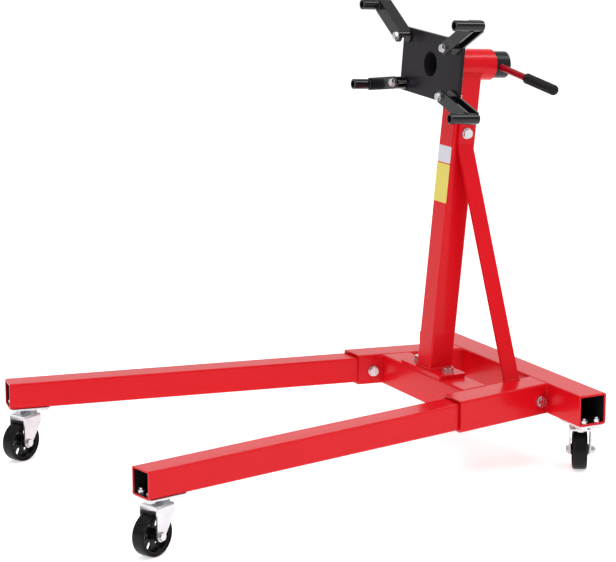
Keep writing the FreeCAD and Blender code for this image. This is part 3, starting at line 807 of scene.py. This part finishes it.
    def arm_tubes(self) -> None:
        """Seams between each arm's channel and its end tube."""
        for name in ARM_NAMES:
            mesh = bmesh.new()
            bolt, forward = joint_frame("arm_swing_" + name)
            tip = Vector(MOUNTS[name + "_arm_bore"]["pos_m"])
            axis_point = bolt + (tip - bolt) - forward * (tip - bolt).dot(forward)
            back = (bolt - axis_point).normalized()
            centre = axis_point / MM + forward * self.arm_seat
            self.circle(mesh, centre, forward, self.arm_tube_radius, self.arm_bead, back,
                        (-self.arm_arc, self.arm_arc))
            self.save("arm_weld_" + name, mesh, "arm_" + name, Slot.ARM_BLACK)

    def build(self) -> None:
        """Builds every seam."""
        self.mast_foot()
        self.collar_saddle()
        self.base_corners()
        self.brace_feet()
        self.head_ring()
        self.lock_boss()
        self.arm_tubes()


# ---------------------------------------------------------------- handle
@dataclass
class HandleGrip:
    """Ribbed rubber grip on the turning handle.

    Args:
        finishes: The finishes.
        forward_place: Handle axis along the head axis, in millimetres.
        near: Open end of the grip along the handle.
        far: Closed, rounded end.
        radius: Radius over the ribs.
        rod_radius: Radius of the rod inside.
        pitch: Distance between ribs.
        depth: Depth of the grooves.
    """

    finishes: Finishes
    forward_place: float = -67.3
    near: float = 115.0
    far: float = 214.0
    radius: float = 10.0
    rod_radius: float = 6.7
    pitch: float = 5.2
    depth: float = 0.9

    def profile(self) -> list[tuple]:
        """Radius and height of the grip's outline, from the open end to the pole."""
        points = [(self.rod_radius, self.near), (self.radius - 1.0, self.near),
                  (self.radius, self.near + 0.9), (self.radius, self.near + 5.0)]
        place = self.near + 6.0
        while place + self.pitch < self.far - 11.0:
            groove = self.radius - self.depth
            points += [(groove, place + 0.5), (groove, place + 1.7),
                       (self.radius - 0.15, place + 2.3),
                       (self.radius - 0.05, place + self.pitch - 0.3)]
            place += self.pitch
        dome = 8
        for step in range(dome + 1):
            angle = math.pi / 2 * step / dome
            points.append(((self.radius - 0.1) * math.cos(angle) if step < dome else 0.0,
                           self.far - 8.0 + 8.0 * math.sin(angle)))
        return points

    def build(self) -> None:
        """Builds the grip in place of its CAD node."""
        head, forward = joint_frame("head_spin")
        handle = Vector(JOINTS["handle_slide"]["axis"]).normalized()
        mesh = spun(self.profile(), 40, closed=False)
        origin = head + forward * (self.forward_place * MM)
        bmesh.ops.transform(mesh, matrix=axes_matrix(origin, handle, forward), verts=mesh.verts)
        piece = finish_piece("ribbed_grip", mesh, "handle", 50.0)
        self.finishes.dress(piece, Slot.GRIP_RUBBER)
        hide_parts("handle_grip")


# ---------------------------------------------------------------- casters
@dataclass
class CasterWheel:
    """Tyre and hub trim of one caster.

    Args:
        finishes: The finishes.
        corner: Which caster it is.
        radius: Radius of the tread.
        inner: Radius of the rim that the tyre sits on.
        half_width: Half the tread's width.
        ring_section: Radius and distance from the middle of each corner of a trim ring.
    """

    finishes: Finishes
    corner: str
    radius: float = 38.0
    inner: float = 32.5
    half_width: float = 13.5
    ring_section: tuple = ((29.8, 9.55), (30.1, 10.1), (31.6, 10.1), (32.2, 9.55))

    def tyre_profile(self) -> list[tuple]:
        """Closed outline of the tyre's section: crowned tread, shoulders and side steps."""
        half, bead, tread = self.half_width, self.inner, self.radius
        side = [(bead, -half + 3.6), (bead + 0.8, -half + 2.4), (bead + 2.2, -half + 0.7),
                (bead + 3.0, -half), (tread - 1.9, -half + 0.3), (tread - 0.8, -half + 1.3),
                (tread - 0.2, -half + 3.2), (tread, -half + 7.0)]
        return side + [(radius, -height) for radius, height in reversed(side)]

    def build(self) -> None:
        """Builds the tyre and the rings on both faces of the core."""
        centre, axis = joint_frame("wheel_spin_" + self.corner)
        place = axes_matrix(centre, axis, UPWARDS)
        mesh = spun(self.tyre_profile(), 64, closed=True)
        bmesh.ops.transform(mesh, matrix=place, verts=mesh.verts)
        body = "wheel_" + self.corner
        piece = finish_piece("tyre_" + self.corner, mesh, body, 28.0)
        self.finishes.dress(piece, Slot.TYRE_BLACK)
        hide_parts("wheel_tyre_" + self.corner)
        for side, word in ((-1, "inner"), (1, "outer")):
            section = [(radius, height * side) for radius, height in self.ring_section]
            mesh = spun(section, 48, closed=True)
            bmesh.ops.transform(mesh, matrix=place, verts=mesh.verts)
            piece = finish_piece("rim_rings_" + word + "_" + self.corner, mesh, body, 30.0)
            self.finishes.dress(piece, Slot.WHEEL_PLASTIC)


# ---------------------------------------------------------------- fasteners
@dataclass
class ThreadEnds:
    """Threaded ends of the bolts that stick out of their nuts.

    Args:
        finishes: The finishes.
        turns: Ridges on each end.
        plate: Thickness of the head plate in millimetres, as all sizes here.
        washer: Thickness of a washer.
        nut: Height of an arm bolt's nut.
        sticks_out: Length of bolt beyond its nut.
        arm_shank: Radius of an arm bolt.
        brace_shank: Radius of the brace bolt.
        run_out: Length of the plain chamfered end.
    """

    finishes: Finishes
    turns: int = 3
    plate: float = 8.0
    washer: float = 2.0
    nut: float = 6.5
    sticks_out: float = 3.0
    arm_shank: float = 4.0
    brace_shank: float = 5.0
    run_out: float = 0.4

    def end(self, mesh: bmesh.types.BMesh, tip: Vector, axis: Vector, radius: float) -> None:
        """Adds one threaded end.

        Args:
            mesh: The bmesh that takes it.
            tip: End of the bolt, in metres.
            axis: Outward direction of the bolt.
            radius: Radius of the shank in millimetres.
        """
        pitch = self.sticks_out / self.turns
        profile = [(0.0, 0.05), (radius - 0.9, 0.05), (radius - 0.4, -self.run_out)]
        for turn in range(self.turns):
            profile += [(radius + 0.12, -self.run_out - pitch * (turn + 0.35)),
                        (radius - 0.45, -self.run_out - pitch * (turn + 0.85))]
        one = spun(profile, 20, closed=False)
        place = axes_matrix(tip, axis, Vector((0.3, 0.5, 0.8)))
        bmesh.ops.transform(one, matrix=place, verts=one.verts)
        data = bpy.data.meshes.new("thread")
        one.to_mesh(data)
        one.free()
        mesh.from_mesh(data)
        bpy.data.meshes.remove(data)

    def build(self) -> None:
        """Builds the ends on the arm bolts and on the brace bolt."""
        forward = joint_frame("head_spin")[1]
        mesh = bmesh.new()
        for name in ARM_NAMES:
            seat = joint_frame("arm_swing_" + name)[0]
            tip = seat - forward * ((self.plate + self.washer + self.nut + self.sticks_out) * MM)
            self.end(mesh, tip, -forward, self.arm_shank)
        self.finishes.dress(finish_piece("arm_bolt_threads", mesh, "head", 20.0), Slot.ZINC)
        mesh = bmesh.new()
        low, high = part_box("brace_bolt")
        middle = (low + high) / 2
        tip = Vector((low.x, middle.y, middle.z))
        self.end(mesh, tip, -SIDEWAYS, self.brace_shank)
        self.finishes.dress(finish_piece("brace_bolt_thread", mesh, "frame", 20.0), Slot.ZINC)


# ---------------------------------------------------------------- labels
@dataclass
class MastLabels:
    """Two blank labels on the mast's front face, with rounded corners and a plain border.

    Args:
        finishes: The finishes.
        thick: Thickness of the film in millimetres, as all sizes here.
        corner: Corner radius of a label.
        cad_thick: Thickness of the label that it takes the place of.
        sunk: Depth of the printed field below the border.
    """

    finishes: Finishes
    thick: float = 0.45
    corner: float = 2.5
    cad_thick: float = 0.5
    sunk: float = 0.08

    def panel(self, node: str, slot: Slot, inset: float) -> None:
        """Builds one label in place of its CAD node.

        Args:
            node: The CAD node.
            slot: The label's finish.
            inset: Width of the plain border.
        """
        low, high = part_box(node)
        lean = math.radians(MAST_LEAN)
        up = Vector((0, math.sin(lean), math.cos(lean)))
        out = Vector((0, -math.cos(lean), math.sin(lean)))
        middle = (low + high) / 2
        width = (high.x - low.x) / MM
        height = ((high.z - low.z) / MM - self.cad_thick * math.sin(lean)) / math.cos(lean)
        mesh = bmesh.new()
        bmesh.ops.create_grid(mesh, x_segments=1, y_segments=1, size=0.5)
        bmesh.ops.scale(mesh, vec=(width * MM, height * MM, 1.0), verts=mesh.verts)
        bmesh.ops.bevel(mesh, geom=list(mesh.verts), offset=self.corner * MM, offset_type="OFFSET",
                        affect="VERTICES", segments=4, profile=0.5, material=-1)
        made = bmesh.ops.inset_region(mesh, faces=list(mesh.faces), thickness=inset * MM,
                                      depth=0.0)
        border = made["faces"]
        inner = [face for face in mesh.faces if face not in border]
        field = list({vertex for face in inner for vertex in face.verts})
        bmesh.ops.translate(mesh, vec=(0, 0, -self.sunk * MM), verts=field)
        outline = [edge for edge in mesh.edges if edge.is_boundary]
        skirt = bmesh.ops.extrude_edge_only(mesh, edges=outline)["geom"]
        bmesh.ops.translate(mesh, vec=(0, 0, -self.thick * MM),
                            verts=[item for item in skirt if isinstance(item, bmesh.types.BMVert)])
        rim = [edge for edge in mesh.edges if edge.is_boundary]
        bmesh.ops.edgeloop_fill(mesh, edges=rim)
        x_axis = up.cross(out)
        turn = Matrix((x_axis, up, out)).transposed().to_4x4()
        place = Matrix.Translation(middle + out * (self.thick * 0.5 * MM)) @ turn
        bmesh.ops.transform(mesh, matrix=place, verts=mesh.verts)
        piece = finish_piece(node + "_film", mesh, "frame", 30.0)
        self.finishes.dress(piece, slot)
        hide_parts(node)

    def build(self) -> None:
        """Builds both labels."""
        self.panel("upper_label", Slot.LABEL_WHITE, 2.0)
        self.panel("lower_label", Slot.LABEL_YELLOW, 2.5)


# ---------------------------------------------------------------- painted shade in the tube bores
@dataclass
class PaintedBoreShade:
    """Near-black skins inside the open ends of the legs and the crossbar: painted shade within the tubes.

    Args:
        finishes: The finishes.
        depth: Length of bore that shows, in millimetres.
        inset: Distance of the painted-shade skin behind the red-painted edge.
        clear: Gap to the tube's inner faces.
        end_reach: Distance of a leg's open end beyond its kingpin.
        leg_bore: Width of a leg's bore.
        base_bore: Width of the crossbar's bore.
        corner: Corner radius of a bore.
    """

    finishes: Finishes
    depth: float = 260.0
    inset: float = 2.0
    clear: float = 0.15
    end_reach: float = 40.0
    leg_bore: float = 44.0
    base_bore: float = 52.0
    corner: float = 2.0

    def shade_skin(self, name: str, mouth: Vector, inward: Vector, bore: float) -> None:
        """Builds one painted-shade skin, an open square sleeve that faces inward.

        Args:
            name: The piece's name.
            mouth: Middle of the open end, in metres.
            inward: Direction into the tube.
            bore: Width of the bore in millimetres.
        """
        size = bore - 2 * self.clear
        mesh = bmesh.new()
        bmesh.ops.create_cube(mesh, size=1.0)
        ends = [face for face in mesh.faces if abs(face.normal.z) > 0.9]
        bmesh.ops.delete(mesh, geom=ends, context="FACES_ONLY")
        upright = [edge for edge in mesh.edges
                   if abs((edge.verts[0].co - edge.verts[1].co).z) > 0.5]
        bmesh.ops.scale(mesh, vec=(size * MM, size * MM, self.depth * MM), verts=mesh.verts)
        bmesh.ops.bevel(mesh, geom=upright, offset=self.corner * MM, offset_type="OFFSET",
                        affect="EDGES", segments=3, profile=0.5, material=-1)
        middle = mouth + inward * ((self.inset + self.depth / 2) * MM)
        place = axes_matrix(middle, inward, UPWARDS)
        bmesh.ops.transform(mesh, matrix=place, verts=mesh.verts)
        piece = finish_piece(name, mesh, "frame", 30.0, inside_out=True)
        # painted shade: the spindle's near-black paint on this skin stands in for the shade inside the tube
        self.finishes.dress(piece, Slot.SPINDLE_BLACK)

    def build(self) -> None:
        """Builds the painted-shade skins in both legs and both ends of the crossbar."""
        for word, side in (("right", 1), ("left", -1)):
            kingpin = joint_frame("swivel_turn_front_" + word)[0]
            low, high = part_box(word + "_leg")
            splay = math.radians(LEG_SPLAY) * side
            inward = Vector((-math.sin(splay), math.cos(splay), 0))
            above = Vector((kingpin.x, kingpin.y, (low.z + high.z) / 2))
            mouth = above - inward * (self.end_reach * MM)
            self.shade_skin(word + "_leg_bore_shade", mouth, inward, self.leg_bore)
        low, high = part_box("rear_crossbar")
        middle = (low + high) / 2
        for word, x, inward in (("right", high.x, -SIDEWAYS), ("left", low.x, SIDEWAYS)):
            mouth = Vector((x, middle.y, middle.z))
            self.shade_skin(word + "_crossbar_bore_shade", mouth, inward, self.base_bore)


# ---------------------------------------------------------------- studio
@dataclass
class Studio:
    """Floor, lights and camera.

    Args:
        azimuth: The camera's azimuth in degrees.
        elevation: Its elevation in degrees.
        place: The camera's place in metres.
        lens: Focal length for a 36 mm sensor.
        horizon: Brightness of the surroundings at eye level.
        zenith: Brightness that they gain overhead.
        floor_glow: Light that the floor gives off, so that it stays pale.
    """

    azimuth: float = 62.49
    elevation: float = 12.32
    place: tuple = (3.66094, -1.89751, 1.26572)
    lens: float = 132.32
    horizon: float = 0.27
    zenith: float = 0.38
    floor_glow: float = 0.52

    def floor(self) -> None:
        """Plain pale floor, larger than the view."""
        mesh = bmesh.new()
        bmesh.ops.create_grid(mesh, x_segments=1, y_segments=1, size=30.0)
        data = bpy.data.meshes.new("studio_floor")
        mesh.to_mesh(data)
        mesh.free()
        piece = bpy.data.objects.new("studio_floor", data)
        bpy.context.scene.collection.objects.link(piece)
        tree = FinishTree("pale_floor")
        grain = tree.noise(3.0, detail=2.0)
        tree.surface(
            Base_Color=tree.blend(grain, (0.91, 0.91, 0.91), (0.94, 0.94, 0.94)),
            Roughness=0.9,
            Specular_IOR_Level=0.0,
            Emission_Color=(1.0, 1.0, 1.0),
            Emission_Strength=self.floor_glow,
        )
        data.materials.append(tree.material)

    def lamp(self, name: str, place: tuple, target: tuple, size: tuple, power: float) -> None:
        """Adds one soft panel.

        Args:
            name: The lamp's name.
            place: Its place in metres.
            target: What it faces.
            size: Width and height in metres.
            power: Power in watts.
        """
        data = bpy.data.lights.new(name, "AREA")
        data.shape = "RECTANGLE"
        data.size, data.size_y = size
        data.energy = power
        light = bpy.data.objects.new(name, data)
        light.location = place
        light.rotation_mode = "QUATERNION"
        light.rotation_quaternion = (Vector(target) - Vector(place)).to_track_quat("-Z", "Y")
        bpy.context.scene.collection.objects.link(light)

    def sky(self) -> None:
        """Soft light from all round, brighter overhead."""
        world = bpy.data.worlds.new("studio_world")
        world.use_nodes = True
        maker = NodeMaker(world.node_tree)
        direction = maker.node("TexCoord").outputs["Generated"]
        parts = maker.node("SeparateXYZ", Vector=direction)
        height = Shade(maker.tree, parts.outputs["Z"])
        glow = height.floored(0.0) * self.zenith + self.horizon
        ground = maker.node("Background", Color=(1.0, 1.0, 1.0), Strength=glow)
        maker.node("OutputWorld", Surface=ground.outputs["Background"])
        bpy.context.scene.world = world

    def camera(self) -> None:
        """Adds the camera."""
        data = bpy.data.cameras.new("main_camera")
        data.lens = self.lens
        data.sensor_width = 36.0
        data.clip_end = 100.0
        camera = bpy.data.objects.new("main_camera", data)
        turn, rise = math.radians(self.azimuth), math.radians(self.elevation)
        back = Vector((math.sin(turn) * math.cos(rise), -math.cos(turn) * math.cos(rise),
                       math.sin(rise)))
        camera.location = self.place
        camera.rotation_mode = "QUATERNION"
        camera.rotation_quaternion = (-back).to_track_quat("-Z", "Y")
        bpy.context.scene.collection.objects.link(camera)
        bpy.context.scene.camera = camera

    def build(self) -> None:
        """Builds the studio."""
        bpy.context.scene.view_settings.view_transform = "Standard"
        self.floor()
        self.sky()
        # name, place, target, size, power
        self.lamp("overhead_panel", (0.2, -0.3, 3.4), (0.0, 0.0, 0.3), (3.0, 3.0), 52.0)
        self.lamp("front_panel", (1.6, -3.6, 2.2), (0.0, 0.0, 0.45), (2.2, 1.6), 32.0)
        self.lamp("side_strip", (3.6, 1.5, 1.7), (0.0, 0.1, 0.45), (0.4, 1.5), 17.0)
        self.lamp("top_strip", (1.0, 2.1, 3.0), (0.0, 0.2, 0.7), (2.6, 0.35), 28.0)
        self.lamp("back_panel", (-4.9, 2.5, 2.4), (0.0, 0.0, 0.3), (6.0, 3.2), 46.0)
        self.camera()


def main() -> None:
    """Builds and dresses the whole stand."""
    logging.basicConfig(level=logging.INFO, format="%(name)s: %(message)s")
    finishes = Finishes()
    finishes.dress_frame()
    WeldSeams(finishes).build()
    HandleGrip(finishes).build()
    for corner in CORNERS:
        CasterWheel(finishes, corner).build()
    ThreadEnds(finishes).build()
    MastLabels(finishes).build()
    PaintedBoreShade(finishes).build()
    Studio().build()


if __name__ == "__main__":
    main()
